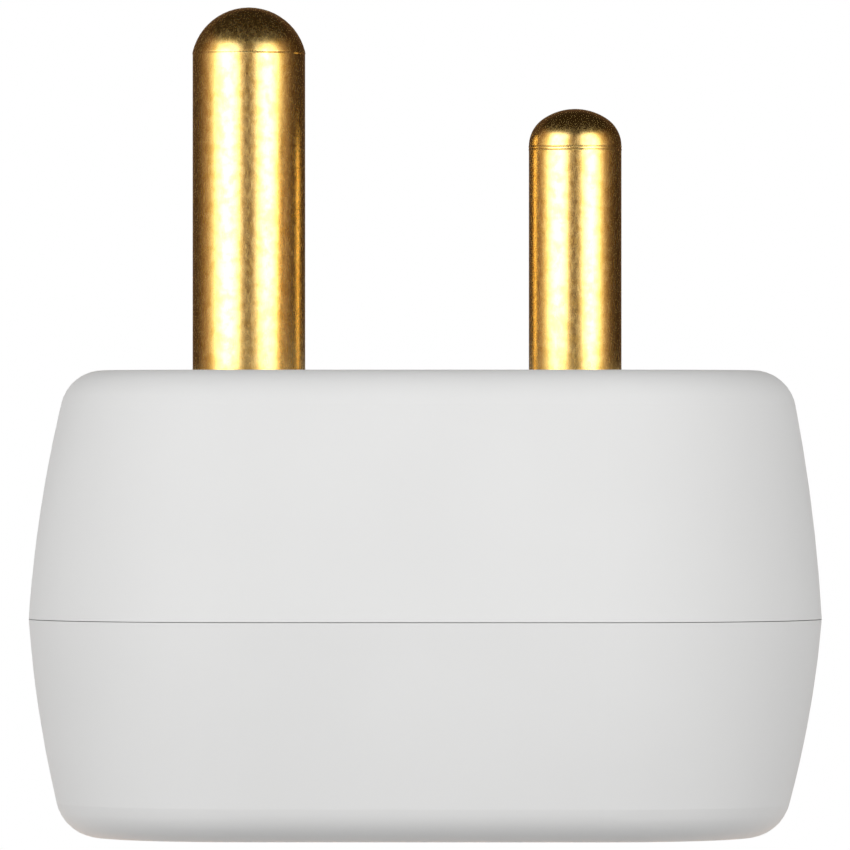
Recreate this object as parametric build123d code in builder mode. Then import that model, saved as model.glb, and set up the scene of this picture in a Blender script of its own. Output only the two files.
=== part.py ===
from build123d import *
import os
from math import asin, cos, radians, sin, tan

# Switched double adapter: a round-pin plug on the back, two outlets and a
# rocker switch on the front. It rests on its socket face with the pins up.
# X runs from the earth pin to the line pins, Y along the housing.

os.makedirs("parts", exist_ok=True)

# Housing
body_width = 58.6
body_length = 112.0
corner_radius = 16.0
split_height = 16.1
rear_depth = 18.4
side_wall = 2.6
face_wall = 3.0
seam_gap = 0.05
lip_height = 1.2
lip_thickness = 1.2
lip_clearance = 0.1
rear_half = {"depth": rear_depth, "drafts": (3.5, 13.5), "skew": 0.1}
front_half = {"depth": split_height, "drafts": (4.5, 16.0), "skew": -0.07}
rear_rim_radius = 3.2
front_rim_radius = 3.3
wall_levels = 5

# Plug pins
earth_pin_radius = 4.355
line_pin_radius = 3.53
earth_pin_length = 28.25
line_pin_length = 20.05
earth_tip_radius = 4.48
line_tip_radius = 4.3
line_shoulder_radius = 2.5
pin_root_margin = 0.4
pin_fit = 0.1
collar_thickness = 1.8
collar_margin = 1.65
tail_margin = 0.8

# Pattern shared by the plug and both outlets
earth_x = -14.05
line_x = 11.15
line_spacing = 25.4
outlet_end_distance = 23.5

# Outlet holes, contact sleeves and the shutters behind the holes
hole_fit = 0.22
hole_lead_in = 0.7
sleeve_fit = 0.1
line_sleeve_wall = 1.2
earth_sleeve_wall = 1.1
sleeve_slot = 0.8
sleeve_slot_length = 9.0
sleeve_neck_wall = 0.6
shutter_thickness = 2.6
shutter_clearance = 0.1
shutter_cover = 3.35
shutter_open_gap = 0.1
arm_half_width = 3.7
shutter_corner_radius = 3.7
spring_window = 14.0
spring_window_half_width = 1.7
spring_post_thickness = 1.3
spring_wire_radius = 0.22
spring_coil_radius = 1.03
spring_turns = 9
plunger_spring_turns = 4

# Carriers of the contact sleeves
carrier_gap = 0.3
carrier_plate = 2.0
well_wall = 1.1
well_fit = 0.1
well_height = 10.0
carrier_margin = 1.2
rail_width = 1.0
rail_clearance = 0.4

# Brass strips
bar_thickness = 1.0
lower_bar_height = 22.5
upper_bar_height = 26.5
bar_width = 4.2
strip_gap = 2.5
earth_bar_width = 9.0
pad_margin = 1.4
spigot_radius = 2.0
rivet_height = 0.8
rivet_margin = 0.9
stem_radius = 2.4
line_sleeve_top = 21.0
sleeve_floor = 0.6

# Switch
rocker_pivot_height = 7.0
rocker_tilt = 8.0
rocker_reach = 10.0
rocker_width = 11.8
rocker_face_drop = 4.0
rocker_back = 1.5
rocker_wall = 1.5
rocker_gap = 0.25
pivot_radius = 1.2
pivot_fit = 0.06
pivot_length = 1.4
frame_wall = 1.8
frame_height = 8.0
frame_ear_length = 5.0
frame_ear_width = 5.0
frame_ear_thickness = 2.0
frame_screw_inset = 2.7
frame_screw_radius = 1.1
frame_screw_head_radius = 2.2
frame_screw_head = 1.5
frame_screw_depth = 2.2
dish_margin = 2.4
dish_depth = 1.0
dish_radius = 4.0
stem_outer_radius = 3.0
stem_length = 7.5
plunger_radius = 1.5
plunger_fit = 0.08
plunger_seat = 4.0
plunger_tip = 11.5
plunger_tip_radius = 1.2
plunger_bore_floor = 1.0
blade_pivot_height = 19.5
blade_tilt = 6.0
blade_length = 17.6
blade_width = 4.4
blade_thickness = 0.8
fulcrum_gap = 0.1
fulcrum_width = 4.0
contact_x = 7.6
contact_radius = 1.8
contact_height = 1.0
contact_gap = 0.08
contact_shank_radius = 0.9
contact_rivet_radius = 1.35
contact_rivet_height = 0.4

# Housing screws
end_screw_x = -18.2
end_screw_distance = 11.8
middle_screw_x = 20.4
middle_screw_distance = 23.0
screw_radius = 1.5
screw_fit = 0.2
screw_head_radius = 2.8
screw_head_height = 1.9
counterbore_depth = 2.2
counterbore_fit = 0.3
screw_post_wall = 1.7
screw_engagement = 9.0
press_post_radius = 1.8
press_post_x = (-4.9, 16.2)

# Heights and places that follow from the sizes above
pin_face = split_height + rear_depth
ceiling = pin_face - face_wall
outlet_y = body_length / 2 - outlet_end_distance
outlets = {"a": -outlet_y, "b": outlet_y}
line_half = line_spacing / 2
live_y = {name: y - line_half for name, y in outlets.items()}
neutral_y = {name: y + line_half for name, y in outlets.items()}
live_pin_y = -line_half
neutral_pin_y = line_half
line_hole_radius = line_pin_radius + hole_fit
earth_hole_radius = earth_pin_radius + hole_fit
line_bore_radius = line_pin_radius + sleeve_fit
earth_bore_radius = earth_pin_radius + sleeve_fit
line_sleeve_radius = line_bore_radius + line_sleeve_wall
earth_sleeve_radius = earth_bore_radius + earth_sleeve_wall
shutter_bottom = face_wall + shutter_clearance
shutter_top = shutter_bottom + shutter_thickness
carrier_bottom = shutter_top + carrier_gap
carrier_top = carrier_bottom + carrier_plate
screw_post_radius = screw_radius + screw_fit + screw_post_wall
screw_clearance_radius = screw_radius + screw_fit
end_screw_y = body_length / 2 - end_screw_distance
middle_screw_y = outlet_y - middle_screw_distance
screw_places = [(end_screw_x, y) for y in (-end_screw_y, end_screw_y)]
screw_places += [(middle_screw_x, y) for y in (-middle_screw_y, middle_screw_y)]
earth_holes = [(earth_x, y) for y in outlets.values()]


def bow_inset(depth, half):
    """How far a bowed wall has come in, so deep behind the split line."""
    start, end = (radians(draft) for draft in half["drafts"])
    bow_radius = half["depth"] / (sin(end) - sin(start))
    draft = asin(sin(start) + depth / bow_radius)
    return bow_radius * (cos(start) - cos(draft))


def wall_level(height, half, thickness=0.0):
    """The housing's outline at one height, so far inside its outer skin."""
    bow = bow_inset(abs(height - split_height), half)
    inset = bow + thickness
    with BuildSketch(Plane.XY.offset(height)) as level:
        with Locations((half["skew"] * bow, 0)):
            RectangleRounded(body_width - 2 * inset, body_length - 2 * inset, corner_radius - inset)
    return level.sketch


def levels(start, end):
    """Evenly spaced heights from start to end."""
    return [start + (end - start) * step / (wall_levels - 1) for step in range(wall_levels)]


def discs(height, radius, *places):
    """Equal discs at one height."""
    with BuildSketch(Plane.XY.offset(height)) as drawn:
        with Locations(*places):
            Circle(radius)
    return drawn.sketch


def block(height, x_from, x_to, y_from, y_to):
    """A rectangle between two corners at one height."""
    with BuildSketch(Plane.XY.offset(height)) as drawn:
        with Locations(((x_from + x_to) / 2, (y_from + y_to) / 2)):
            Rectangle(x_to - x_from, y_to - y_from)
    return drawn.sketch


def save(piece, label):
    """Labels a finished piece and writes it."""
    piece.part.label = label
    export_step(piece.part, f"parts/{label}.step")


# Rear housing: the half with the pin face
with BuildPart() as rear_housing:
    for height in levels(split_height + seam_gap, pin_face):
        add(wall_level(height, rear_half))
    loft()
    fillet(rear_housing.faces().sort_by(Axis.Z)[-1].edges(), rear_rim_radius)
    for height in levels(split_height, ceiling):
        add(wall_level(height, rear_half, side_wall))
    loft(mode=Mode.SUBTRACT)
    # Rebate that takes the front half's lip
    add(wall_level(split_height, rear_half, side_wall - lip_thickness - lip_clearance))
    extrude(amount=lip_height + lip_clearance, mode=Mode.SUBTRACT)
    # Screw posts meet the front half's bosses, press posts hold the carriers down
    add(discs(split_height, screw_post_radius, *screw_places))
    extrude(amount=ceiling - split_height)
    press_places = [(x, y) for x in press_post_x for y in outlets.values()]
    add(discs(carrier_top, press_post_radius, *press_places))
    extrude(amount=ceiling - carrier_top)
    add(discs(split_height, screw_clearance_radius, *screw_places))
    extrude(amount=rear_depth, mode=Mode.SUBTRACT)
    add(discs(pin_face - counterbore_depth, screw_head_radius + counterbore_fit, *screw_places))
    extrude(amount=counterbore_depth, mode=Mode.SUBTRACT)
    line_pin_places = ((line_x, live_pin_y), (line_x, neutral_pin_y))
    add(discs(ceiling, earth_pin_radius + pin_root_margin + pin_fit, (earth_x, 0)))
    add(discs(ceiling, line_pin_radius + pin_root_margin + pin_fit, *line_pin_places))
    extrude(amount=face_wall, mode=Mode.SUBTRACT)

# Sizes of the rocker's opening, shared by the front housing and the switch frame
opening_half_x = rocker_reach + rocker_gap
opening_half_y = rocker_width / 2 + rocker_gap
frame_half_x = opening_half_x + frame_wall
frame_half_y = opening_half_y + frame_wall
frame_screw_x = frame_half_x + frame_ear_length - frame_screw_inset
frame_screw_places = ((-frame_screw_x, 0), (frame_screw_x, 0))

# Shutter's lines along X, closed
shutter_travel = shutter_cover + line_pin_radius + shutter_open_gap
plate_left = line_x - shutter_cover
plate_right = line_x + line_hole_radius
arm_end = earth_x + earth_pin_radius + shutter_open_gap - shutter_travel
plate_half = line_half + line_hole_radius
window_right = plate_left - spring_post_thickness
window_left = window_right - spring_window
rail_start = arm_half_width + rail_clearance
end_rail_start = plate_half + rail_clearance

# Front housing: the half with the socket face
with BuildPart() as front_housing:
    for height in levels(split_height, 0):
        add(wall_level(height, front_half))
    loft()
    fillet(front_housing.faces().sort_by(Axis.Z)[0].edges(), front_rim_radius)
    for height in levels(split_height, face_wall):
        add(wall_level(height, front_half, side_wall))
    loft(mode=Mode.SUBTRACT)
    # Lip that enters the rear half
    add(wall_level(split_height, front_half, side_wall - lip_thickness))
    extrude(amount=lip_height)
    add(wall_level(split_height, front_half, side_wall))
    extrude(amount=lip_height, mode=Mode.SUBTRACT)
    # Bosses for the housing screws
    add(discs(face_wall, screw_post_radius, *screw_places))
    extrude(amount=split_height - face_wall)
    add(discs(split_height, screw_radius, *screw_places))
    extrude(amount=-screw_engagement, mode=Mode.SUBTRACT)
    # Rails beside each shutter that also carry the contact carrier
    for y in outlets.values():
        for side in (-1, 1):
            for start, x_from, x_to in (
                (rail_start, earth_x - earth_sleeve_radius, window_left),
                (end_rail_start, plate_left, plate_right),
            ):
                near, far = sorted((y + side * start, y + side * (start + rail_width)))
                add(block(face_wall, x_from, x_to, near, far))
                extrude(amount=carrier_bottom - face_wall)
        # Post that the shutter's spring pushes against
        add(
            block(
                face_wall,
                window_right - spring_post_thickness,
                window_right,
                y - spring_window_half_width + shutter_clearance,
                y + spring_window_half_width - shutter_clearance,
            )
        )
        extrude(amount=shutter_thickness)
    # Outlet holes with their lead-ins
    line_holes = [(line_x, y) for y in (*live_y.values(), *neutral_y.values())]
    add(discs(0, line_hole_radius, *line_holes))
    add(discs(0, earth_hole_radius, *earth_holes))
    extrude(amount=face_wall, mode=Mode.SUBTRACT)
    hole_edges = front_housing.faces().sort_by(Axis.Z)[0].inner_wires().edges()
    chamfer(hole_edges, hole_lead_in)
    # Finger dish and opening of the rocker, and pilot holes of its frame's screws
    with BuildSketch(Plane.XY):
        RectangleRounded(
            2 * (opening_half_x + dish_margin), 2 * (opening_half_y + dish_margin), dish_radius
        )
    extrude(amount=dish_depth, mode=Mode.SUBTRACT)
    add(block(0, -opening_half_x, opening_half_x, -opening_half_y, opening_half_y))
    extrude(amount=face_wall, mode=Mode.SUBTRACT)
    add(discs(face_wall, frame_screw_radius, *frame_screw_places))
    extrude(amount=-frame_screw_depth, mode=Mode.SUBTRACT)

save(rear_housing, "rear_housing")
save(front_housing, "front_housing")


def upright(x, y):
    """The plane that a turned piece's half profile is drawn on, with its axis at x, y."""
    return Plane(origin=(x, y, 0), x_dir=(1, 0, 0), z_dir=(0, -1, 0))


def turned_axis(x, y):
    """The vertical axis of a turned piece."""
    return Axis((x, y, 0), (0, 0, 1))


def pin_profile(place, pin_radius, length, tip_radius, bar_height, shoulder_radius=0.0):
    """Half a plug pin: free shank, collar under the face, tail riveted to a bar."""
    root = pin_radius + pin_root_margin
    collar = pin_radius + collar_margin
    tail = pin_radius - tail_margin
    rivet = spigot_radius + rivet_margin
    tip = pin_face + length
    tip_centre = tip - tip_radius
    shoulder = tip_centre + (tip_radius**2 - pin_radius**2) ** 0.5
    middle = tip_radius * sin(asin(pin_radius / tip_radius) / 2)
    collar_bottom = ceiling - collar_thickness
    with BuildSketch(upright(*place)) as profile:
        with BuildLine():
            Polyline(
                (0, tip),
                (0, bar_height - rivet_height),
                (rivet, bar_height - rivet_height),
                (rivet, bar_height),
                (spigot_radius, bar_height),
                (spigot_radius, bar_height + bar_thickness),
                (tail, bar_height + bar_thickness),
                (tail, collar_bottom),
                (collar, collar_bottom),
                (collar, ceiling),
                (root, ceiling),
                (root, pin_face),
                (pin_radius, pin_face),
                (pin_radius, shoulder),
            )
            ThreePointArc(
                (pin_radius, shoulder),
                (middle, tip_centre + (tip_radius**2 - middle**2) ** 0.5),
                (0, tip),
            )
        make_face()
        if shoulder_radius:
            fillet(profile.vertices().sort_by(Axis.Y)[-2], shoulder_radius)
    return profile.sketch


# Plug pins: turned brass, with a rounded end that enters the wall socket
with BuildPart() as earth_pin:
    place = (earth_x, 0)
    add(pin_profile(place, earth_pin_radius, earth_pin_length, earth_tip_radius, lower_bar_height))
    revolve(axis=turned_axis(*place))
save(earth_pin, "earth_pin")

line_pin = (line_pin_radius, line_pin_length, line_tip_radius)

with BuildPart() as live_pin:
    place = (line_x, live_pin_y)
    add(pin_profile(place, *line_pin, upper_bar_height, line_shoulder_radius))
    revolve(axis=turned_axis(*place))
save(live_pin, "live_pin")

with BuildPart() as neutral_pin:
    place = (line_x, neutral_pin_y)
    add(pin_profile(place, *line_pin, upper_bar_height, line_shoulder_radius))
    revolve(axis=turned_axis(*place))
save(neutral_pin, "neutral_pin")


def line_sleeve_profile(place, bar_height):
    """Half a live or neutral sleeve: closed tube, stem, and spigot riveted over a bar."""
    rivet = spigot_radius + rivet_margin
    rivet_top = bar_height + bar_thickness + rivet_height
    with BuildSketch(upright(*place)) as profile:
        with BuildLine():
            Polyline(
                (0, line_sleeve_top - sleeve_floor),
                (line_bore_radius, line_sleeve_top - sleeve_floor),
                (line_bore_radius, carrier_top),
                (line_sleeve_radius, carrier_top),
                (line_sleeve_radius, line_sleeve_top),
                (stem_radius, line_sleeve_top),
                (stem_radius, bar_height),
                (spigot_radius, bar_height),
                (spigot_radius, bar_height + bar_thickness),
                (rivet, bar_height + bar_thickness),
                (rivet, rivet_top),
                (0, rivet_top),
                close=True,
            )
        make_face()
    return profile.sketch


def slot_cross(place, radius):
    """The two crossing saw cuts that give a sleeve its four fingers."""
    across = 2 * radius + sleeve_slot
    with BuildSketch(Plane.XY.offset(carrier_top)) as cross:
        with Locations(place):
            Rectangle(across, sleeve_slot)
            Rectangle(sleeve_slot, across)
    return cross.sketch


# Live and neutral contact sleeves, slotted so that their fingers grip a pin
line_sleeves = {
    "live_contact_a": ((line_x, live_y["a"]), lower_bar_height),
    "live_contact_b": ((line_x, live_y["b"]), lower_bar_height),
    "neutral_contact_a": ((line_x, neutral_y["a"]), lower_bar_height),
    "neutral_contact_b": ((line_x, neutral_y["b"]), upper_bar_height),
}
for label, (place, bar_height) in line_sleeves.items():
    with BuildPart() as line_sleeve:
        add(line_sleeve_profile(place, bar_height))
        revolve(axis=turned_axis(*place))
        add(slot_cross(place, line_sleeve_radius))
        extrude(amount=sleeve_slot_length, mode=Mode.SUBTRACT)
    save(line_sleeve, label)

# Earth contact sleeves: open at the top, because an earth pin passes right through
earth_neck_radius = earth_bore_radius + sleeve_neck_wall
for name, y in outlets.items():
    with BuildPart() as earth_sleeve:
        neck_top = lower_bar_height + bar_thickness
        with BuildSketch(upright(earth_x, y)):
            with BuildLine():
                Polyline(
                    (earth_bore_radius, carrier_top),
                    (earth_sleeve_radius, carrier_top),
                    (earth_sleeve_radius, lower_bar_height),
                    (earth_neck_radius, lower_bar_height),
                    (earth_neck_radius, neck_top),
                    (earth_sleeve_radius, neck_top),
                    (earth_sleeve_radius, neck_top + rivet_height),
                    (earth_bore_radius, neck_top + rivet_height),
                    close=True,
                )
            make_face()
        revolve(axis=turned_axis(earth_x, y))
        add(slot_cross((earth_x, y), earth_sleeve_radius))
        extrude(amount=sleeve_slot_length, mode=Mode.SUBTRACT)
    save(earth_sleeve, f"earth_contact_{name}")

# Carriers: one moulding for each outlet, with a well for each sleeve
line_well_radius = line_sleeve_radius + well_fit + well_wall
earth_well_radius = earth_sleeve_radius + well_fit + well_wall
carrier_arm_half = earth_well_radius + carrier_margin / 2
carrier_head_half = end_rail_start + rail_width
carrier_left = earth_x - earth_well_radius
carrier_right = line_x + line_well_radius + carrier_margin
for name, y in outlets.items():
    line_wells = ((line_x, live_y[name]), (line_x, neutral_y[name]))
    with BuildPart() as contact_carrier:
        with BuildSketch(Plane.XY.offset(carrier_bottom)):
            add(block(0, carrier_left, carrier_right, y - carrier_arm_half, y + carrier_arm_half))
            head_left = line_x - line_well_radius
            add(block(0, head_left, carrier_right, y - carrier_head_half, y + carrier_head_half))
        extrude(amount=carrier_plate)
        add(discs(carrier_top, line_well_radius, *line_wells))
        add(discs(carrier_top, earth_well_radius, (earth_x, y)))
        extrude(amount=well_height)
        add(discs(carrier_top, line_sleeve_radius + well_fit, *line_wells))
        add(discs(carrier_top, earth_sleeve_radius + well_fit, (earth_x, y)))
        extrude(amount=well_height, mode=Mode.SUBTRACT)
        add(discs(carrier_bottom, line_hole_radius, *line_wells))
        add(discs(carrier_bottom, earth_hole_radius, (earth_x, y)))
        extrude(amount=carrier_plate, mode=Mode.SUBTRACT)
    save(contact_carrier, f"contact_carrier_{name}")

# Shutters: T-shaped plates that cover the line holes until an earth pin pushes the ramp
for name, y in outlets.items():
    with BuildPart() as shutter:
        add(block(shutter_bottom, plate_left, plate_right, y - plate_half, y + plate_half))
        extrude(amount=shutter_thickness)
        outer_corners = shutter.edges().filter_by(Axis.Z).group_by(Axis.X)[-1]
        fillet(outer_corners, shutter_corner_radius)
        add(block(shutter_bottom, arm_end, plate_left, y - arm_half_width, y + arm_half_width))
        extrude(amount=shutter_thickness)
        window_sides = (y - spring_window_half_width, y + spring_window_half_width)
        add(block(shutter_bottom, window_left, window_right, *window_sides))
        extrude(amount=shutter_thickness, mode=Mode.SUBTRACT)
        ramp_edge = shutter.faces().sort_by(Axis.X)[0].edges().sort_by(Axis.Z)[0]
        chamfer(ramp_edge, shutter_thickness - rivet_height)
    save(shutter, f"shutter_{name}")


def coil(start, direction, length, turns):
    """The path of a coil spring's wire, from one end of its seat to the other."""
    rise = length - 4 * spring_wire_radius
    centre = Vector(*start) + Vector(*direction).normalized() * (2 * spring_wire_radius)
    with BuildLine() as path:
        Helix(rise / turns, rise, spring_coil_radius, center=centre, direction=direction)
    return path.line


# Shutter springs: they lie in the arm's window and push against the fixed post
spring_length = spring_window - spring_post_thickness
spring_height = shutter_bottom + shutter_thickness / 2
for name, y in outlets.items():
    with BuildPart() as shutter_spring:
        path = coil((window_left, y, spring_height), (1, 0, 0), spring_length, spring_turns)
        with BuildSketch(path ^ 0):
            Circle(spring_wire_radius)
        sweep(path=path, is_frenet=True)
    save(shutter_spring, f"shutter_spring_{name}")

pad_radius = spigot_radius + pad_margin
half_bar = bar_width / 2

# Earth bar: one straight strip under the earth pin and both earth sleeves
with BuildPart() as earth_bar:
    add(discs(lower_bar_height, earth_sleeve_radius + carrier_margin, *earth_holes))
    bar_sides = (earth_x - earth_bar_width / 2, earth_x + earth_bar_width / 2)
    add(block(lower_bar_height, *bar_sides, -outlet_y, outlet_y))
    extrude(amount=bar_thickness)
    add(discs(lower_bar_height, earth_neck_radius, *earth_holes))
    add(discs(lower_bar_height, spigot_radius, (earth_x, 0)))
    extrude(amount=bar_thickness, mode=Mode.SUBTRACT)
save(earth_bar, "earth_bar")

# Neutral bar: from the neutral pin to outlet b, and round the inlet bar to outlet a, where a
# riser takes it down under the live pin
upper_eyes = ((line_x, neutral_pin_y), (line_x, neutral_y["b"]))
foot_eye = (line_x, neutral_y["a"])
foot_sides = (neutral_y["a"] - half_bar, neutral_y["a"] + half_bar)
inlet_end = contact_radius + pad_margin
bypass_x = contact_x - contact_radius - strip_gap - half_bar
bypass_y = (inlet_end + neutral_pin_y) / 2
riser_x = half_bar + strip_gap + bar_thickness
with BuildPart() as neutral_bar:
    add(discs(upper_bar_height, pad_radius, *upper_eyes))
    for x_from, x_to, y_from, y_to in (
        (line_x - half_bar, line_x + half_bar, bypass_y - half_bar, neutral_y["b"]),
        (bypass_x - half_bar, line_x + half_bar, bypass_y - half_bar, bypass_y + half_bar),
        (bypass_x - half_bar, bypass_x + half_bar, foot_sides[0], bypass_y + half_bar),
        (bypass_x - half_bar, riser_x, *foot_sides),
    ):
        add(block(upper_bar_height, x_from, x_to, y_from, y_to))
    extrude(amount=bar_thickness)
    add(block(lower_bar_height, riser_x - bar_thickness, riser_x, *foot_sides))
    extrude(amount=upper_bar_height - lower_bar_height)
    add(block(lower_bar_height, riser_x - bar_thickness, line_x, *foot_sides))
    add(discs(lower_bar_height, pad_radius, foot_eye))
    extrude(amount=bar_thickness)
    add(discs(upper_bar_height, spigot_radius, *upper_eyes))
    add(discs(lower_bar_height, spigot_radius, foot_eye))
    extrude(amount=bar_thickness, mode=Mode.SUBTRACT)
save(neutral_bar, "neutral_bar")

# Live outlet bar: runs down the middle, with a knife edge that the contact blade rocks on
live_eyes = ((line_x, live_y["a"]), (line_x, live_y["b"]))
knife_bottom = blade_pivot_height + fulcrum_gap
with BuildPart() as live_outlet_bar:
    add(discs(lower_bar_height, pad_radius, *live_eyes))
    add(block(lower_bar_height, -half_bar, half_bar, live_y["a"] - half_bar, live_y["b"] + half_bar))
    for y in live_y.values():
        add(block(lower_bar_height, -half_bar, line_x, y - half_bar, y + half_bar))
    extrude(amount=bar_thickness)
    add(discs(lower_bar_height, spigot_radius, *live_eyes))
    extrude(amount=bar_thickness, mode=Mode.SUBTRACT)
    half_knife = bar_thickness / 2
    with BuildSketch(Plane.XZ.offset(-fulcrum_width / 2)):
        with BuildLine():
            Polyline(
                (-half_knife, lower_bar_height),
                (-half_knife, knife_bottom + half_knife),
                (-fulcrum_gap, knife_bottom),
                (fulcrum_gap, knife_bottom),
                (half_knife, knife_bottom + half_knife),
                (half_knife, lower_bar_height),
                close=True,
            )
        make_face()
    extrude(amount=fulcrum_width)
save(live_outlet_bar, "live_outlet_bar")

# Live inlet bar: from the live pin to the fixed contact
with BuildPart() as live_inlet_bar:
    inlet_sides = (contact_x - contact_radius, line_x + contact_radius)
    add(discs(upper_bar_height, pad_radius, (line_x, live_pin_y)))
    add(block(upper_bar_height, *inlet_sides, live_pin_y, inlet_end))
    extrude(amount=bar_thickness)
    add(discs(upper_bar_height, spigot_radius, (line_x, live_pin_y)))
    add(discs(upper_bar_height, contact_shank_radius, (contact_x, 0)))
    extrude(amount=bar_thickness, mode=Mode.SUBTRACT)
save(live_inlet_bar, "live_inlet_bar")

# Fixed contact: a silver rivet that hangs from the inlet bar
closed_tilt = radians(blade_tilt)
button_edge = contact_x + contact_radius
closed_height = blade_pivot_height + button_edge * sin(closed_tilt) + contact_height * cos(closed_tilt)
fixed_face = closed_height + contact_gap
with BuildPart() as fixed_contact:
    add(discs(fixed_face, contact_radius, (contact_x, 0)))
    extrude(amount=upper_bar_height - fixed_face)
    add(discs(upper_bar_height, contact_shank_radius, (contact_x, 0)))
    extrude(amount=bar_thickness)
    add(discs(upper_bar_height + bar_thickness, contact_rivet_radius, (contact_x, 0)))
    extrude(amount=contact_rivet_height)
save(fixed_contact, "fixed_contact")

# Switch off: the rocker leans one way and the contact blade the other
pivot = (0, 0, rocker_pivot_height)
rocker_lean = Location(pivot) * Location((0, 0, 0), (0, -rocker_tilt, 0))
blade_lean = Location((0, 0, blade_pivot_height)) * Location((0, 0, 0), (0, blade_tilt, 0))


def leaning(place, height=0.0):
    """A level plane of a leaning piece, at a height above its pivot."""
    return Plane(place).offset(height)


def leaning_side(place, half_width):
    """The side plane of a leaning piece, on its -Y side."""
    return Plane(place * Location((0, -half_width, 0), (90, 0, 0)))


# Rocker: a moulded button with two faces that meet at its middle, and a stem for the plunger
with BuildPart() as rocker:
    slope = tan(radians(rocker_tilt))
    spread = (rocker_reach**2 * (1 + slope**2) - rocker_face_drop**2) ** 0.5
    reach_x = (spread - rocker_face_drop * slope) / (1 + slope**2)
    corner_depth = rocker_face_drop + reach_x * slope
    back_x = (rocker_reach**2 - rocker_back**2) ** 0.5
    with BuildSketch(leaning_side(rocker_lean, rocker_width / 2)):
        with BuildLine():
            Polyline((-reach_x, -corner_depth), (0, -rocker_face_drop), (reach_x, -corner_depth))
            ThreePointArc((reach_x, -corner_depth), (rocker_reach, 0), (back_x, rocker_back))
            Line((back_x, rocker_back), (-back_x, rocker_back))
            ThreePointArc((-back_x, rocker_back), (-rocker_reach, 0), (-reach_x, -corner_depth))
        make_face()
    extrude(amount=-rocker_width)
    with BuildSketch(leaning(rocker_lean, rocker_back)):
        Rectangle(2 * (back_x - rocker_wall), rocker_width - 2 * rocker_wall)
    extrude(amount=-(rocker_back + rocker_face_drop - rocker_wall), mode=Mode.SUBTRACT)
    with BuildSketch(leaning(rocker_lean, rocker_wall - rocker_face_drop)):
        Circle(stem_outer_radius)
    extrude(amount=stem_length + rocker_face_drop - rocker_wall)
    with BuildSketch(leaning(rocker_lean, stem_length)):
        Circle(plunger_radius + plunger_fit)
    extrude(amount=-(stem_length - plunger_bore_floor), mode=Mode.SUBTRACT)
    for side in (-1, 1):
        with BuildSketch(leaning_side(rocker_lean, -side * rocker_width / 2)):
            Circle(pivot_radius)
        extrude(amount=-side * pivot_length)
save(rocker, "rocker")

# Plunger: slides in the rocker's stem and wipes along the blade
with BuildPart() as rocker_plunger:
    with BuildSketch(leaning(rocker_lean, plunger_seat)):
        Circle(plunger_radius)
    extrude(amount=plunger_tip - plunger_seat)
    tip_edge = rocker_plunger.faces().sort_by(Axis.Z)[-1].edges()
    fillet(tip_edge, plunger_tip_radius)
save(rocker_plunger, "rocker_plunger")

# Plunger spring
with BuildPart() as plunger_spring:
    spring_base = leaning(rocker_lean, plunger_bore_floor)
    spring_room = plunger_seat - plunger_bore_floor
    path = coil(spring_base.origin, spring_base.z_dir, spring_room, plunger_spring_turns)
    with BuildSketch(path ^ 0):
        Circle(spring_wire_radius)
    sweep(path=path, is_frenet=True)
save(plunger_spring, "plunger_spring")

# Contact blade, drawn leaning the way that opens the circuit
with BuildPart() as contact_blade:
    with BuildSketch(leaning(blade_lean)):
        SlotOverall(blade_length, blade_width)
    extrude(amount=-blade_thickness)
    with BuildSketch(leaning(blade_lean)):
        with Locations((contact_x, 0)):
            Circle(contact_shank_radius)
    extrude(amount=-blade_thickness, mode=Mode.SUBTRACT)
save(contact_blade, "contact_blade")

# Blade contact: a silver rivet through the blade
with BuildPart() as blade_contact:
    for height, radius, amount in (
        (0, contact_radius, contact_height),
        (0, contact_shank_radius, -blade_thickness),
        (-blade_thickness, contact_rivet_radius, -contact_rivet_height),
    ):
        with BuildSketch(leaning(blade_lean, height)):
            with Locations((contact_x, 0)):
                Circle(radius)
        extrude(amount=amount)
save(blade_contact, "blade_contact")

# Switch frame: a moulded box that carries the rocker's pivots, with an ear at each end
with BuildPart() as switch_frame:
    ear_end = frame_half_x + frame_ear_length
    half_ear = frame_ear_width / 2
    add(block(face_wall, -frame_half_x, frame_half_x, -frame_half_y, frame_half_y))
    extrude(amount=frame_height)
    add(block(face_wall, -ear_end, ear_end, -half_ear, half_ear))
    extrude(amount=frame_ear_thickness)
    add(block(face_wall, -opening_half_x, opening_half_x, -opening_half_y, opening_half_y))
    extrude(amount=frame_height, mode=Mode.SUBTRACT)
    with BuildSketch(Plane.XZ):
        with Locations((0, rocker_pivot_height)):
            Circle(pivot_radius + pivot_fit)
    extrude(amount=frame_half_y, both=True, mode=Mode.SUBTRACT)
    add(discs(face_wall, frame_screw_radius + pivot_fit, *frame_screw_places))
    extrude(amount=frame_ear_thickness, mode=Mode.SUBTRACT)
save(switch_frame, "switch_frame")


def screw_heads_and_shanks(places, head_bottom, head_radius, head_height, radius, length):
    """The head discs and shank discs of like screws, with the way each is extruded."""
    yield discs(head_bottom, head_radius, *places), head_height
    yield discs(head_bottom, radius, *places), -length


# Frame screws: they fasten the switch frame to the inside of the socket face
with BuildPart() as frame_screws:
    ear_top = face_wall + frame_ear_thickness
    shank = frame_ear_thickness + frame_screw_depth
    for drawn, amount in screw_heads_and_shanks(
        frame_screw_places,
        ear_top,
        frame_screw_head_radius,
        frame_screw_head,
        frame_screw_radius,
        shank,
    ):
        add(drawn)
        extrude(amount=amount)
save(frame_screws, "frame_screws")

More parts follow.
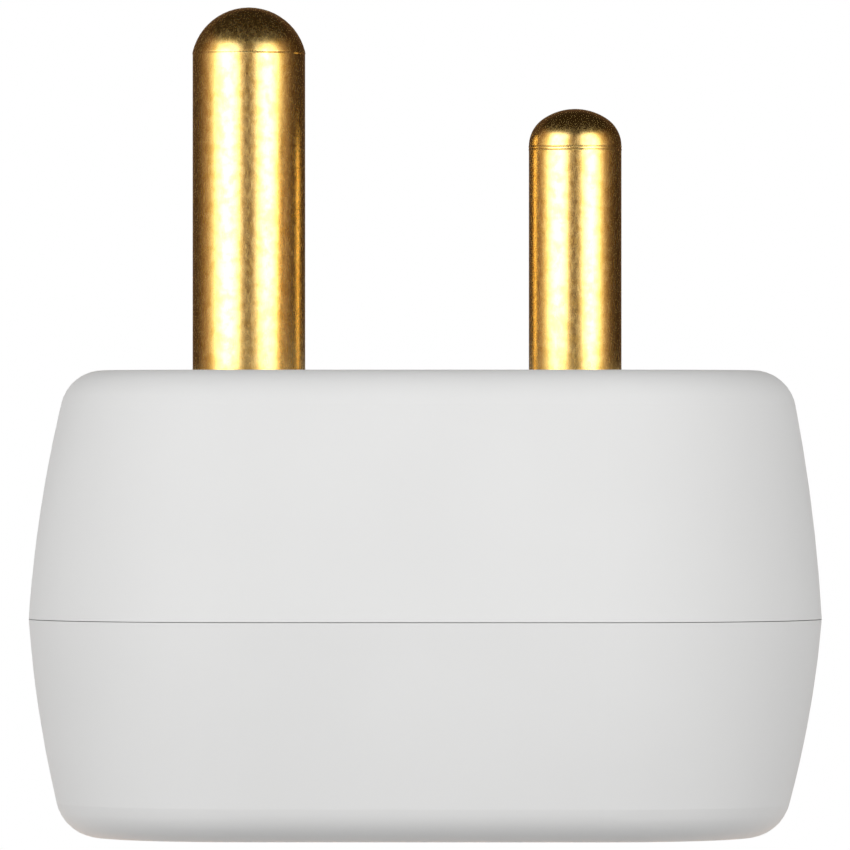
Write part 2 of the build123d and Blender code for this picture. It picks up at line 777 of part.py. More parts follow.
# Housing screws: sunk in the pin face, they close the two halves
with BuildPart() as housing_screws:
    head_bottom = pin_face - counterbore_depth
    shank = head_bottom - split_height + screw_engagement
    for drawn, amount in screw_heads_and_shanks(
        screw_places, head_bottom, screw_head_radius, screw_head_height, screw_radius, shank
    ):
        add(drawn)
        extrude(amount=amount)
save(housing_screws, "housing_screws")
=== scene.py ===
import bmesh
import bpy
import math
from mathutils import Matrix, Vector


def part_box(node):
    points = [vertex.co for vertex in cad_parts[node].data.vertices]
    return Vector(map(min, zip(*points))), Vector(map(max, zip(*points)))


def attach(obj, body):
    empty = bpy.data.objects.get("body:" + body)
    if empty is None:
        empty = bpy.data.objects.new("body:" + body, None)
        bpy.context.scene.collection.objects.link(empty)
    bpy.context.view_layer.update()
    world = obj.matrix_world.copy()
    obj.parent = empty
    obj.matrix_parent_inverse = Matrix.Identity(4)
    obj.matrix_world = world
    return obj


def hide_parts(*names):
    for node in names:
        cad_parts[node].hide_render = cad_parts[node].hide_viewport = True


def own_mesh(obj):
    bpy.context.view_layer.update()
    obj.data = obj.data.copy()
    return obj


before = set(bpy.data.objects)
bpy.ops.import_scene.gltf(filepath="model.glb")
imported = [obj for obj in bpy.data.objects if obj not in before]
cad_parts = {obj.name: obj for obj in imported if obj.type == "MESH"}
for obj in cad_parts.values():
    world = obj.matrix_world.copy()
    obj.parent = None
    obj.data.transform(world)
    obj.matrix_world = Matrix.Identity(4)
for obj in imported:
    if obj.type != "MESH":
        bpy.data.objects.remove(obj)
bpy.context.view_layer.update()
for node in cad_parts.values():
    node.select_set(False)

# Rear housing and front housing
# The two shells of the body, injection moulded in white plastic with a satin sheen. They
# meet at a fine split line, and four screws from the pin face pull them together.
HOUSING_WHITE = (0.82, 0.82, 0.815)
HOUSING_SHADE = (0.795, 0.795, 0.79)
CLOUDS_PER_METRE = 60
SHEEN_PATCHES_PER_METRE = 240
SHEEN_SWING = 0.05
MOULD_GRAINS_PER_METRE = 4200
MOULD_GRAIN_HEIGHT = 0.00001


def new_material(name):
    """A node material, its tree and its shader."""
    material = bpy.data.materials.new(name)
    material.use_nodes = True
    tree = material.node_tree
    return material, tree, tree.nodes["Principled BSDF"]


def noise(tree, scale, detail=4.0, stretch=(1, 1, 1)):
    """Noise fixed to the piece, so many grains a metre, stretched along chosen axes."""
    place = tree.nodes.new("ShaderNodeTexCoord")
    mapping = tree.nodes.new("ShaderNodeMapping")
    mapping.inputs["Scale"].default_value = stretch
    grain = tree.nodes.new("ShaderNodeTexNoise")
    grain.inputs["Scale"].default_value = scale
    grain.inputs["Detail"].default_value = detail
    tree.links.new(place.outputs["Object"], mapping.inputs["Vector"])
    tree.links.new(mapping.outputs["Vector"], grain.inputs["Vector"])
    return grain.outputs["Fac"]


def blend_colours(tree, factor, low, high, first, second):
    """The first colour below low, the second above high, and a blend between."""
    node = tree.nodes.new("ShaderNodeValToRGB")
    node.color_ramp.elements[0].position = low
    node.color_ramp.elements[0].color = (*first, 1)
    node.color_ramp.elements[1].position = high
    node.color_ramp.elements[1].color = (*second, 1)
    tree.links.new(factor, node.inputs["Fac"])
    return node.outputs["Color"]


def spread(tree, factor, low, high, from_low=0.0, from_high=1.0):
    """A factor stretched to run from low to high."""
    node = tree.nodes.new("ShaderNodeMapRange")
    node.inputs["From Min"].default_value = from_low
    node.inputs["From Max"].default_value = from_high
    node.inputs["To Min"].default_value = low
    node.inputs["To Max"].default_value = high
    tree.links.new(factor, node.inputs["Value"])
    return node.outputs["Result"]


def raised(tree, shader, height, distance, strength=1.0):
    """Adds a height in metres to the surface's bump."""
    node = tree.nodes.new("ShaderNodeBump")
    node.inputs["Strength"].default_value = strength
    node.inputs["Distance"].default_value = distance
    tree.links.new(height, node.inputs["Height"])
    under = shader.inputs["Normal"].links
    if under:
        tree.links.new(under[0].from_socket, node.inputs["Normal"])
    tree.links.new(node.outputs["Normal"], shader.inputs["Normal"])


def moulded_plastic(name, light, shade, roughness, grain, sheen):
    """Moulded plastic: a slightly cloudy colour, a soft sheen and a very fine mould grain."""
    material, tree, shader = new_material(name)
    clouds = noise(tree, CLOUDS_PER_METRE, detail=3.0)
    colour = blend_colours(tree, clouds, low=0.3, high=0.7, first=shade, second=light)
    tree.links.new(colour, shader.inputs["Base Color"])
    patches = noise(tree, SHEEN_PATCHES_PER_METRE)
    dullness = spread(tree, patches, roughness - SHEEN_SWING, roughness + SHEEN_SWING)
    tree.links.new(dullness, shader.inputs["Roughness"])
    raised(tree, shader, noise(tree, MOULD_GRAINS_PER_METRE, detail=2.0), MOULD_GRAIN_HEIGHT, grain)
    shader.inputs["Specular IOR Level"].default_value = sheen
    return material


def finish_node(name, material):
    """Gives a CAD node its finished material."""
    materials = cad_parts[name].data.materials
    materials.clear()
    materials.append(material)


housing_plastic = moulded_plastic(
    "housing_white_plastic", HOUSING_WHITE, HOUSING_SHADE, roughness=0.6, grain=0.15, sheen=0.14
)
finish_node("rear_housing", housing_plastic)
finish_node("front_housing", housing_plastic)

# Plug pins
# Three solid brass pins, turned on a lathe, so their ends are crisp and their sides carry
# fine ring marks, pits and scuffs from being plugged in. The collar under the pin face
# holds each one in the rear housing.
BRASS = (0.87, 0.62, 0.23)
BRASS_TARNISH = (0.76, 0.5, 0.15)
BLOTCHES_PER_METRE = 1400
TARNISH_START = 0.36
SCUFFS_PER_METRE = 4200
SCUFF_STRETCH = (1, 1, 0.35)
SCUFF_SWING = 0.1
LATHE_RINGS_PER_METRE = 6000
LATHE_RING_STRETCH = (0.02, 0.02, 1)
PITS_PER_METRE = 5200
PIT_DEPTH = 0.000001


def brass(name, roughness, tarnish, ring_height):
    """Turned brass: fine rings round the axis, blotches of tarnish, pits and scuffs."""
    material, tree, shader = new_material(name)
    shader.inputs["Metallic"].default_value = 1.0
    blotches = noise(tree, BLOTCHES_PER_METRE, detail=12.0)
    clean = TARNISH_START + tarnish
    colour = blend_colours(tree, blotches, TARNISH_START, clean, BRASS_TARNISH, BRASS)
    tree.links.new(colour, shader.inputs["Base Color"])
    scuffs = noise(tree, SCUFFS_PER_METRE, detail=8.0, stretch=SCUFF_STRETCH)
    dullness = spread(tree, scuffs, roughness - SCUFF_SWING, roughness + SCUFF_SWING)
    tree.links.new(dullness, shader.inputs["Roughness"])
    rings = noise(tree, LATHE_RINGS_PER_METRE, detail=2.0, stretch=LATHE_RING_STRETCH)
    raised(tree, shader, rings, ring_height)
    pits = noise(tree, PITS_PER_METRE, detail=6.0)
    raised(tree, shader, spread(tree, pits, 0, 1, from_low=0.3, from_high=0.42), PIT_DEPTH)
    return material


PIN_SEGMENTS = 128
DOME_STEPS = 12
RING_HEIGHT = 0.00003
RING_HALF_WIDTH = 0.00008
# How far the root and the collar stand out from the pin's side, and the tail lies inside it
ROOT_MARGIN = 0.0004
COLLAR_MARGIN = 0.00165
TAIL_MARGIN = 0.0008
COLLAR_THICKNESS = 0.0018
FACE_WALL = 0.003
RIVET_RADIUS = 0.0029
RIVET_HEIGHT = 0.0008
SPIGOT_RADIUS = 0.002
STRIP_THICKNESS = 0.001
SHARP_ANGLE = math.radians(9)
TIP_ANGLE = math.radians(1.5)
# The share of a face's normal along a direction, past which the face looks that way
FACING = 0.9


def select_faces(piece, wanted):
    """Selects, in edit mode, the faces whose centre and normal are wanted."""
    mesh = bmesh.from_edit_mesh(piece.data)
    for face in mesh.faces:
        face.select_set(wanted(face.calc_center_median(), face.normal))
    bmesh.update_edit_mesh(piece.data)


def turned(name, axis, profile, segments):
    """A turned piece: a short bar, drawn up and resized at its end from point to point."""
    bpy.ops.object.select_all(action="DESELECT")
    (radius, low), (_, height) = profile[:2]
    middle = (low + height) / 2
    bpy.ops.mesh.primitive_cylinder_add(
        vertices=segments, radius=radius, depth=height - low, location=(*axis, middle)
    )
    piece = bpy.context.object
    piece.name = name
    bpy.ops.object.transform_apply(location=True, rotation=True, scale=True)
    bpy.ops.object.mode_set(mode="EDIT")
    bpy.ops.mesh.select_mode(type="FACE")
    select_faces(piece, lambda centre, normal: centre.z > middle and normal.z > FACING)
    for next_radius, next_height in profile[2:]:
        rise = (0, 0, next_height - height)
        ratio = next_radius / radius
        bpy.ops.mesh.extrude_region_move(TRANSFORM_OT_translate={"value": rise})
        bpy.ops.transform.resize(value=(ratio, ratio, 1), center_override=(*axis, next_height))
        radius, height = next_radius, next_height
    bpy.ops.mesh.poke()
    bpy.ops.object.mode_set(mode="OBJECT")
    bpy.ops.object.shade_smooth_by_angle(angle=SHARP_ANGLE)
    return piece


def arc_points(across, up, radius, start, end):
    """Points on an arc, by their angle from the axis, with the first left out."""
    angles = [start + (end - start) * step / DOME_STEPS for step in range(1, DOME_STEPS + 1)]
    return [(across + radius * math.sin(angle), up + radius * math.cos(angle)) for angle in angles]


def domed_end(radius, tip, tip_radius, shoulder):
    """Points up a pin's rounded end: an arc over its shoulder, then the arc of its tip."""
    turn = math.asin((radius - shoulder) / (tip_radius - shoulder))
    centre = tip - tip_radius
    shoulder_centre = centre + (tip_radius - shoulder) * math.cos(turn)
    points = [(radius, shoulder_centre)]
    if shoulder:
        points += arc_points(radius - shoulder, shoulder_centre, shoulder, math.pi / 2, turn)
    return points + arc_points(0, centre, tip_radius, turn, TIP_ANGLE)


def plug_pin(node, tip_radius, shoulder, rings):
    """One pin, from the rivet under its strip up to its tip, with fine rings so far below it."""
    low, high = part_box(node)
    axis = ((low[0] + high[0]) / 2, (low[1] + high[1]) / 2)
    radius = (high[0] - low[0]) / 2 - COLLAR_MARGIN
    tip = high[2]
    ceiling = PIN_FACE - FACE_WALL
    strip = low[2] + RIVET_HEIGHT
    collar = ceiling - COLLAR_THICKNESS
    profile = [
        (RIVET_RADIUS, low[2]),
        (RIVET_RADIUS, strip),
        (SPIGOT_RADIUS, strip),
        (SPIGOT_RADIUS, strip + STRIP_THICKNESS),
        (radius - TAIL_MARGIN, strip + STRIP_THICKNESS),
        (radius - TAIL_MARGIN, collar),
        (radius + COLLAR_MARGIN, collar),
        (radius + COLLAR_MARGIN, ceiling),
        (radius + ROOT_MARGIN, ceiling),
        (radius + ROOT_MARGIN, PIN_FACE),
        (radius, PIN_FACE),
    ]
    for below in rings:
        ring = tip - below
        profile += [
            (radius, ring - RING_HALF_WIDTH),
            (radius + RING_HEIGHT, ring),
            (radius, ring + RING_HALF_WIDTH),
        ]
    profile += domed_end(radius, tip, tip_radius, shoulder)
    pin = turned(f"turned_{node}", axis, profile, PIN_SEGMENTS)
    pin.data.materials.append(pin_brass)
    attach(pin, "housing")
    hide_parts(node)


PIN_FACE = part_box("rear_housing")[1][2]
pin_brass = brass("turned_pin_brass", roughness=0.26, tarnish=0.2, ring_height=0.0000015)
plug_pin("earth_pin", tip_radius=0.00448, shoulder=0.0, rings=(0.00356,))
for line_pin in ("live_pin", "neutral_pin"):
    plug_pin(line_pin, tip_radius=0.0043, shoulder=0.0025, rings=(0.00312, 0.00289))

# Contact sleeves, bars and blade
# Drawn brass sleeves and stamped brass strips inside the housing. Each sleeve's spigot and
# each pin's tail is riveted through its strip.
strip_brass = brass("stamped_strip_brass", roughness=0.32, tarnish=0.3, ring_height=0.0000005)
for node in (
    "earth_bar", "neutral_bar", "live_inlet_bar", "live_outlet_bar", "contact_blade",
    "earth_contact_a", "earth_contact_b", "live_contact_a", "live_contact_b",
    "neutral_contact_a", "neutral_contact_b",
):
    finish_node(node, strip_brass)

# Contact rivets
# Two silver rivets that meet when the switch is on. One goes through the blade, and the other
# hangs from the inlet bar. Each is headed over where it comes through.
SILVER = (0.86, 0.85, 0.82)
SILVER_DULL = (0.68, 0.66, 0.62)
SCRATCHES_TO_A_PATCH = 5
SCRATCH_HEIGHT = 0.000003
METAL_POLISH = 0.08
METAL_WEAR = 0.12


def bare_metal(name, light, dull, roughness, scratches_per_metre):
    """Plain metal with cloudy patches and fine scratches."""
    material, tree, shader = new_material(name)
    shader.inputs["Metallic"].default_value = 1.0
    patches = noise(tree, scratches_per_metre / SCRATCHES_TO_A_PATCH, detail=6.0)
    colour = blend_colours(tree, patches, low=0.35, high=0.65, first=dull, second=light)
    tree.links.new(colour, shader.inputs["Base Color"])
    scratches = noise(tree, scratches_per_metre, detail=6.0)
    dullness = spread(tree, scratches, roughness - METAL_POLISH, roughness + METAL_WEAR)
    tree.links.new(dullness, shader.inputs["Roughness"])
    raised(tree, shader, scratches, SCRATCH_HEIGHT)
    return material


contact_silver = bare_metal(
    "contact_silver", SILVER, SILVER_DULL, roughness=0.3, scratches_per_metre=4000
)
for node in ("fixed_contact", "blade_contact"):
    finish_node(node, contact_silver)

# Carriers, switch frame and shutters
# Grey-white mouldings inside the housing: a carrier for the sleeves of each outlet, the
# frame of the rocker, and the two shutters that close the line holes.
INNER_WHITE = (0.66, 0.66, 0.63)
INNER_SHADE = (0.6, 0.6, 0.57)
SHUTTER_WHITE = (0.7, 0.7, 0.68)
SHUTTER_SHADE = (0.64, 0.64, 0.62)
inner_plastic = moulded_plastic(
    "inner_plastic", INNER_WHITE, INNER_SHADE, roughness=0.55, grain=0.4, sheen=0.3
)
for node in ("contact_carrier_a", "contact_carrier_b", "switch_frame"):
    finish_node(node, inner_plastic)
shutter_plastic = moulded_plastic(
    "shutter_plastic", SHUTTER_WHITE, SHUTTER_SHADE, roughness=0.5, grain=0.3, sheen=0.3
)
for node in ("shutter_a", "shutter_b"):
    finish_node(node, shutter_plastic)

# Rocker
# The switch button on the socket face, moulded in glossy red plastic, with a bar and a ring
# raised on its two faces and painted white. It turns on two short pins in the switch frame.
ROCKER_RED = (0.46, 0.02, 0.015)
ROCKER_RED_SHADE = (0.4, 0.015, 0.012)
ROCKER_EDGE_RADIUS = 0.0004
MERGE_DISTANCE = 0.000002
FLAT_ANGLE = math.radians(0.5)
FACE_ANGLE = math.radians(12)
EDGE_ANGLE = math.radians(40)
ROCKER_PIVOT_HEIGHT = 0.007
ROCKER_LEAN = math.radians(-8)
ROCKER_FACE_SLOPE = math.radians(8)
ROCKER_FACE_DROP = 0.004
MARK_PLACE = 0.0052
MARK_HEIGHT = 0.00012
MARK_LENGTH = 0.0042
MARK_WIDTH = 0.0007
MARK_BEVEL = 0.00008
MARK_WHITE = (0.8, 0.8, 0.78)
MARK_SHADE = (0.74, 0.74, 0.72)
rocker_plastic = moulded_plastic(
    "rocker_red_plastic", ROCKER_RED, ROCKER_RED_SHADE, roughness=0.32, grain=0.1, sheen=0.25
)
mark_paint = moulded_plastic(
    "white_mark_paint", MARK_WHITE, MARK_SHADE, roughness=0.5, grain=0.4, sheen=0.3
)


def apply_modifiers(piece):
    """Applies every modifier of a piece."""
    bpy.context.view_layer.objects.active = piece
    for modifier in list(piece.modifiers):
        bpy.ops.object.modifier_apply(modifier=modifier.name)


def rounded_edges(piece, width, segments):
    """Rounds the sharp edges of a piece, and keeps its flat faces flat in the shading."""
    bpy.ops.object.shade_smooth_by_angle(angle=FACE_ANGLE)
    bevel = piece.modifiers.new("rounded_edges", "BEVEL")
    bevel.width = width
    bevel.segments = segments
    bevel.limit_method = "ANGLE"
    bevel.angle_limit = EDGE_ANGLE
    flat_shading = piece.modifiers.new("flat_faces", "WEIGHTED_NORMAL")
    flat_shading.weight = 100
    flat_shading.keep_sharp = True
    apply_modifiers(piece)


def merged_copy(node, name):
    """A copy of a CAD node's mesh as a piece of its own, with its loose triangles joined."""
    bpy.ops.object.select_all(action="DESELECT")
    piece = bpy.data.objects.new(name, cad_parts[node].data.copy())
    bpy.context.scene.collection.objects.link(piece)
    bpy.context.view_layer.objects.active = piece
    piece.select_set(True)
    bpy.ops.object.mode_set(mode="EDIT")
    bpy.ops.mesh.select_all(action="SELECT")
    bpy.ops.mesh.remove_doubles(threshold=MERGE_DISTANCE)
    bpy.ops.object.mode_set(mode="OBJECT")
    bpy.ops.mesh.customdata_custom_splitnormals_clear()
    piece.data.materials.clear()
    return piece


rocker_button = merged_copy("rocker", "rocker_button")
bpy.ops.object.mode_set(mode="EDIT")
bpy.ops.mesh.dissolve_limited(angle_limit=FLAT_ANGLE)
bpy.ops.object.mode_set(mode="OBJECT")
rounded_edges(rocker_button, ROCKER_EDGE_RADIUS, segments=3)
rocker_button.data.materials.append(rocker_plastic)
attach(rocker_button, "rocker")
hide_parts("rocker")


def on_rocker_face(mark, side):
    """Turns a mark modelled flat at the origin onto one face of the rocker, and bakes its place."""
    slope = -side * ROCKER_FACE_SLOPE
    drop = -ROCKER_FACE_DROP - MARK_PLACE * math.tan(ROCKER_FACE_SLOPE)
    local = Matrix.Translation((side * MARK_PLACE, 0, drop)) @ Matrix.Rotation(-slope, 4, "Y")
    lean = Matrix.Translation((0, 0, ROCKER_PIVOT_HEIGHT)) @ Matrix.Rotation(ROCKER_LEAN, 4, "Y")
    mark.matrix_world = lean @ local
    bpy.ops.object.transform_apply(location=True, rotation=True, scale=True)
    mark.data.materials.append(mark_paint)
    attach(mark, "rocker")


bpy.ops.object.select_all(action="DESELECT")
bpy.ops.mesh.primitive_cube_add(size=1)
on_mark = bpy.context.object
on_mark.name = "on_mark"
on_mark.scale = (MARK_WIDTH, MARK_LENGTH, 2 * MARK_HEIGHT)
bpy.ops.object.transform_apply(location=True, rotation=True, scale=True)
rounded_edges(on_mark, MARK_BEVEL, segments=2)
on_rocker_face(on_mark, side=1)

bpy.ops.object.select_all(action="DESELECT")
bpy.ops.mesh.primitive_cylinder_add(vertices=64, radius=MARK_LENGTH / 2, depth=2 * MARK_HEIGHT)
off_mark = bpy.context.object
off_mark.name = "off_mark"
bpy.ops.object.mode_set(mode="EDIT")
bpy.ops.mesh.select_mode(type="FACE")
select_faces(off_mark, lambda centre, normal: abs(normal.z) > FACING)
bpy.ops.mesh.inset(thickness=MARK_WIDTH)
bpy.ops.mesh.bridge_edge_loops()
bpy.ops.object.mode_set(mode="OBJECT")
rounded_edges(off_mark, MARK_BEVEL, segments=2)
on_rocker_face(off_mark, side=-1)

# Housing screws
# Four like screws in zinc plated steel, turned in from the pin face until their heads sit on
# the counterbores. Each head is slightly domed, with a pressed cross recess.
SCREW_PLACES = (
    (-0.0182, -0.0442), (-0.0182, 0.0442), (0.0204, -0.0095), (0.0204, 0.0095),
)
SCREW_SEGMENTS = 64
SCREW_RADIUS = 0.0015
SCREW_HEAD_RADIUS = 0.0028
SCREW_HEAD_HEIGHT = 0.0019
SCREW_TIP_LENGTH = 0.002
SCREW_TIP_RADIUS = SCREW_RADIUS / 3
SCREW_TIP_CHAMFER = 0.0001
# Steps over the head's edge: in from its side, and down from its top
HEAD_DOME = ((0, 0.0006), (0.0001, 0.00035), (0.0004, 0.00015), (0.0009, 0.00005))
HEAD_ANGLE = math.radians(25)
RECESS_ARM = 0.0016
RECESS_WIDTH = 0.0006
RECESS_DEPTH = 0.0012
RECESS_TAPER = 0.45
ZINC = (0.62, 0.63, 0.64)
ZINC_DULL = (0.5, 0.51, 0.53)
zinc_steel = bare_metal(
    "zinc_plated_steel", ZINC, ZINC_DULL, roughness=0.34, scratches_per_metre=3000
)

screw_low, screw_high = (corner[2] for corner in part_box("housing_screws"))
head_bottom = screw_high - SCREW_HEAD_HEIGHT
screw_profile = [
    (SCREW_TIP_RADIUS, screw_low),
    (SCREW_TIP_RADIUS + SCREW_TIP_CHAMFER, screw_low + SCREW_TIP_CHAMFER),
    (SCREW_RADIUS, screw_low + SCREW_TIP_LENGTH),
    (SCREW_RADIUS, head_bottom),
    (SCREW_HEAD_RADIUS, head_bottom),
]
screw_profile += [(SCREW_HEAD_RADIUS - inward, screw_high - down) for inward, down in HEAD_DOME]
screw_profile += [(SCREW_HEAD_RADIUS / 3, screw_high)]
screw = turned("housing_screw_set", SCREW_PLACES[0], screw_profile, SCREW_SEGMENTS)

bpy.ops.object.select_all(action="DESELECT")
bpy.ops.mesh.primitive_cube_add(size=1, location=(*SCREW_PLACES[0], screw_high))
recess = bpy.context.object
recess.scale = (RECESS_WIDTH, RECESS_WIDTH, 2 * RECESS_DEPTH)
bpy.ops.object.transform_apply(location=True, rotation=True, scale=True)
bpy.ops.object.mode_set(mode="EDIT")
bpy.ops.mesh.select_mode(type="FACE")
for direction in ((1, 0), (-1, 0), (0, 1), (0, -1)):
    reach = Vector((*direction, 0))
    aside = Vector((-direction[1], direction[0], 0))
    core_line = Vector((*SCREW_PLACES[0], 0)).dot(aside)
    select_faces(
        recess,
        lambda centre, normal: normal.dot(reach) > FACING
        and abs(centre.dot(aside) - core_line) < RECESS_WIDTH / 2,
    )
    arm = reach * (RECESS_ARM - RECESS_WIDTH / 2)
    bpy.ops.mesh.extrude_region_move(TRANSFORM_OT_translate={"value": arm})
select_faces(recess, lambda centre, normal: normal.z < -FACING)
recess_floor = (*SCREW_PLACES[0], screw_high - RECESS_DEPTH)
bpy.ops.transform.resize(value=(RECESS_TAPER, RECESS_TAPER, 1), center_override=recess_floor)
bpy.ops.object.mode_set(mode="OBJECT")
cut = screw.modifiers.new("cross_recess", "BOOLEAN")
cut.operation = "DIFFERENCE"
cut.object = recess
bpy.ops.object.select_all(action="DESELECT")
screw.select_set(True)
apply_modifiers(screw)
bpy.data.objects.remove(recess)
bpy.ops.object.shade_smooth_by_angle(angle=HEAD_ANGLE)
like_screws = []
for x, y in SCREW_PLACES[1:]:
    bpy.ops.object.select_all(action="DESELECT")
    like_screw = bpy.data.objects.new("like_screw", screw.data.copy())
    bpy.context.scene.collection.objects.link(like_screw)
    like_screw.location = (x - SCREW_PLACES[0][0], y - SCREW_PLACES[0][1], 0)
    like_screw.select_set(True)
    bpy.context.view_layer.objects.active = like_screw
    bpy.ops.object.transform_apply(location=True, rotation=True, scale=True)
    like_screws.append(like_screw)
bpy.ops.object.select_all(action="DESELECT")
for one_screw in (screw, *like_screws):
    one_screw.select_set(True)
bpy.context.view_layer.objects.active = screw
bpy.ops.object.join()
screw.data.materials.clear()
screw.data.materials.append(zinc_steel)
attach(screw, "housing")
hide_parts("housing_screws")

# Plunger and frame screws
# The same zinc plated steel: the plunger in the rocker, and the two screws that hold the
# switch frame.
for node in ("rocker_plunger", "frame_screws"):
    finish_node(node, zinc_steel)

# Springs
# Coil springs of the same steel behind the two shutters and the plunger.
WIRE_ANGLE = math.radians(50)


def coil_spring(node, name, body):
    """A copy of a CAD spring in zinc plated steel, attached to its body in place of the CAD node.
    """
    spring = merged_copy(node, name)
    bpy.ops.object.shade_smooth_by_angle(angle=WIRE_ANGLE)
    spring.data.materials.append(zinc_steel)
    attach(spring, body)
    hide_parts(node)
    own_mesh(spring)


for side in ("a", "b"):
    coil_spring(
        f"shutter_spring_{side}",
        f"shutter_coil_{side}",
        "housing",
    )
coil_spring(
    "plunger_spring",
    "plunger_coil",
    "rocker",
)

# Camera
# A long lens, level with the body and square to its near end, as in the photograph, so that
# one line pin hides the other.
CAMERA_DISTANCE = 0.900
CAMERA_X = 0.009
CAMERA_HEIGHT = 0.03046
AIM_Y = -0.041
LENS = 493.0

camera_data = bpy.data.cameras.new("camera")
camera_data.lens = LENS
camera_data.sensor_width = 36.0
camera_data.clip_start = 0.05
camera_data.clip_end = 20.0
camera = bpy.data.objects.new("camera", camera_data)
bpy.context.scene.collection.objects.link(camera)
camera.location = (CAMERA_X, -CAMERA_DISTANCE, CAMERA_HEIGHT)
camera.rotation_euler = (math.pi / 2, 0, math.atan2(CAMERA_X, CAMERA_DISTANCE + AIM_Y))
bpy.context.scene.camera = camera

# Light
# A round light tent stands behind and beside the camera, with two bright panels and dim warm
# gaps, and only the gloss shows it. Wide soft lights and an even glow shade the plastic.
LIGHT_DISTANCE = 1.0
TENT_RADIUS = 1.2
TENT_BOTTOM = -1.0
TENT_TOP = 1.1
TENT_FADE = 0.25
# Azimuth right of the camera, in degrees, and radiance
TENT_PANELS = (
    (-180, 0.12), (-125, 0.06), (-108, 0.2), (-90, 0.45), (-76, 1.2), (-62, 3.4), (-46, 5.5),
    (-28, 4.2), (-14, 0.45), (-6, 0.1), (4, 0.1), (11, 0.4), (20, 2.2), (34, 5.2), (48, 4.8),
    (63, 1.6), (78, 0.45), (98, 0.1), (130, 0.04), (180, 0.12),
)
DARK_TINT = (1.0, 0.62, 0.4)
MIDDLE_TINT = (1.0, 0.87, 0.56)
BRIGHT_TINT = (1.0, 1.0, 1.0)
MIDDLE_FROM = 0.5
BRIGHT_FROM = 2.0
LOW_BACK_AZIMUTH = 2.5
LOW_BACK_TOP = -0.2
LOW_BACK_FULL = -0.34
LOW_BACK_BOOST = 25.0


def soft_box(name, azimuth, span, low, high, radiance):
    """A soft light facing the pins: its azimuth right of the camera and its span, in degrees."""
    angle = math.radians(azimuth)
    data = bpy.data.lights.new(name, "AREA")
    data.shape = "RECTANGLE"
    data.size = 2 * LIGHT_DISTANCE * math.tan(math.radians(span / 2))
    data.size_y = high - low
    data.energy = radiance * math.pi * data.size * data.size_y
    light = bpy.data.objects.new(name, data)
    bpy.context.scene.collection.objects.link(light)
    across = LIGHT_DISTANCE * math.sin(angle)
    along = -LIGHT_DISTANCE * math.cos(angle)
    light.location = (across, along, (low + high) / 2)
    light.rotation_euler = (math.pi / 2, 0, angle)
    light.visible_glossy = False


soft_box("left_shade", azimuth=-49, span=62, low=-0.25, high=0.85, radiance=1.85)
soft_box("right_shade", azimuth=45, span=62, low=-0.25, high=0.85, radiance=1.68)
soft_box("back_shade", azimuth=180, span=46, low=-0.3, high=0.85, radiance=1.1)
soft_box("under_shade", azimuth=180, span=60, low=-1.3, high=-0.45, radiance=3.0)


def calculate(tree, operation, *values):
    """A Math node on links or plain numbers."""
    node = tree.nodes.new("ShaderNodeMath")
    node.operation = operation
    for socket, value in zip(node.inputs, values):
        if isinstance(value, (int, float)):
            socket.default_value = value
        else:
            tree.links.new(value, socket)
    return node.outputs["Value"]


glow_cloth, tree, shader = new_material("glowing_tent_cloth")
place = tree.nodes.new("ShaderNodeTexCoord")
axes = tree.nodes.new("ShaderNodeSeparateXYZ")
tree.links.new(place.outputs["Object"], axes.inputs["Vector"])
towards_camera = calculate(tree, "MULTIPLY", axes.outputs["Y"], -1)
azimuth = calculate(tree, "ARCTAN2", axes.outputs["X"], towards_camera)
round_tent = spread(tree, azimuth, 0, 1, -math.pi, math.pi)
panels = tree.nodes.new("ShaderNodeValToRGB")
stops = panels.color_ramp.elements
while len(stops) < len(TENT_PANELS):
    stops.new(0.5)
brightest = max(radiance for _, radiance in TENT_PANELS)
for stop, (degrees, radiance) in zip(stops, TENT_PANELS):
    tint = BRIGHT_TINT
    if radiance < MIDDLE_FROM:
        tint = DARK_TINT
    elif radiance < BRIGHT_FROM:
        tint = MIDDLE_TINT
    stop.position = (degrees + 180) / 360
    stop.color = (*(channel * radiance / brightest for channel in tint), 1)
tree.links.new(round_tent, panels.inputs["Fac"])
fade = spread(tree, axes.outputs["Z"], brightest, 0.0, TENT_TOP - TENT_FADE, TENT_TOP)
# Low down at the back the tent is bright again, for views from behind and above
at_back = calculate(tree, "GREATER_THAN", calculate(tree, "ABSOLUTE", azimuth), LOW_BACK_AZIMUTH)
low_down = spread(tree, axes.outputs["Z"], 0, LOW_BACK_BOOST, LOW_BACK_TOP, LOW_BACK_FULL)
boost = calculate(tree, "ADD", calculate(tree, "MULTIPLY", at_back, low_down), 1)
tree.links.new(panels.outputs["Color"], shader.inputs["Emission Color"])
tree.links.new(calculate(tree, "MULTIPLY", fade, boost), shader.inputs["Emission Strength"])
shader.inputs["Base Color"].default_value = (0, 0, 0, 1)
shader.inputs["Specular IOR Level"].default_value = 0.0
glow_cloth.cycles.emission_sampling = "NONE"

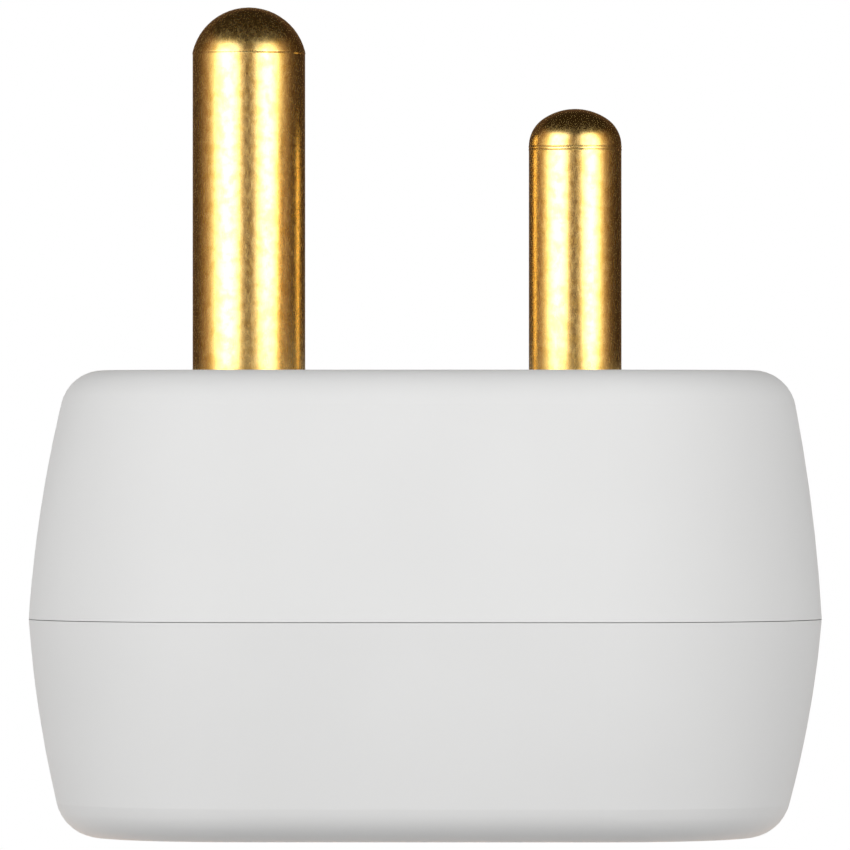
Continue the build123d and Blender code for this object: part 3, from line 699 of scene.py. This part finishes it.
bpy.ops.object.select_all(action="DESELECT")
bpy.ops.mesh.primitive_cylinder_add(
    vertices=256,
    radius=TENT_RADIUS,
    depth=TENT_TOP - TENT_BOTTOM,
    end_fill_type="NOTHING",
    location=(0, 0, (TENT_TOP + TENT_BOTTOM) / 2),
)
tent = bpy.context.object
tent.name = "light_tent"
bpy.ops.object.transform_apply(location=True, rotation=True, scale=True)
tent.data.materials.append(glow_cloth)
tent.visible_camera = False
tent.visible_diffuse = False
tent.visible_transmission = False
tent.visible_shadow = False

SHADING_GLOW = 0.27
GLOSS_GLOW = (0.03, 0.021, 0.013)
world = bpy.data.worlds.new("surroundings")
world.use_nodes = True
bpy.context.scene.world = world
tree = world.node_tree
rays = tree.nodes.new("ShaderNodeLightPath")
even_glow = (SHADING_GLOW,) * 3
glow = blend_colours(tree, rays.outputs["Is Glossy Ray"], 0, 1, even_glow, GLOSS_GLOW)
tree.links.new(glow, tree.nodes["Background"].inputs["Color"])
white_behind = spread(tree, rays.outputs["Is Camera Ray"], 1, 1 / SHADING_GLOW)
tree.links.new(white_behind, tree.nodes["Background"].inputs["Strength"])

# Floor
# Plain white, as in a light tent, and seen by the camera alone, so that it casts nothing on
# the part. It is clear from below, as a glass table is, so that the socket face can be
# looked at.
FLOOR_RADIUS = 3.0
FLOOR_GAP = 0.00005
bpy.ops.object.select_all(action="DESELECT")
bpy.ops.mesh.primitive_circle_add(
    vertices=96, radius=FLOOR_RADIUS, fill_type="NGON", location=(0, 0, -FLOOR_GAP)
)
floor = bpy.context.object
floor.name = "floor"
floor_white, tree, shader = new_material("floor_white")
shader.inputs["Base Color"].default_value = (0, 0, 0, 1)
shader.inputs["Specular IOR Level"].default_value = 0.0
shader.inputs["Emission Color"].default_value = (1, 1, 1, 1)
shader.inputs["Emission Strength"].default_value = 1.0
side = tree.nodes.new("ShaderNodeNewGeometry")
tree.links.new(calculate(tree, "SUBTRACT", 1, side.outputs["Backfacing"]), shader.inputs["Alpha"])
floor.data.materials.append(floor_white)
floor.visible_glossy = False
floor.visible_diffuse = False
floor.visible_transmission = False
floor.visible_shadow = False

bpy.context.scene.view_settings.view_transform = "Standard"
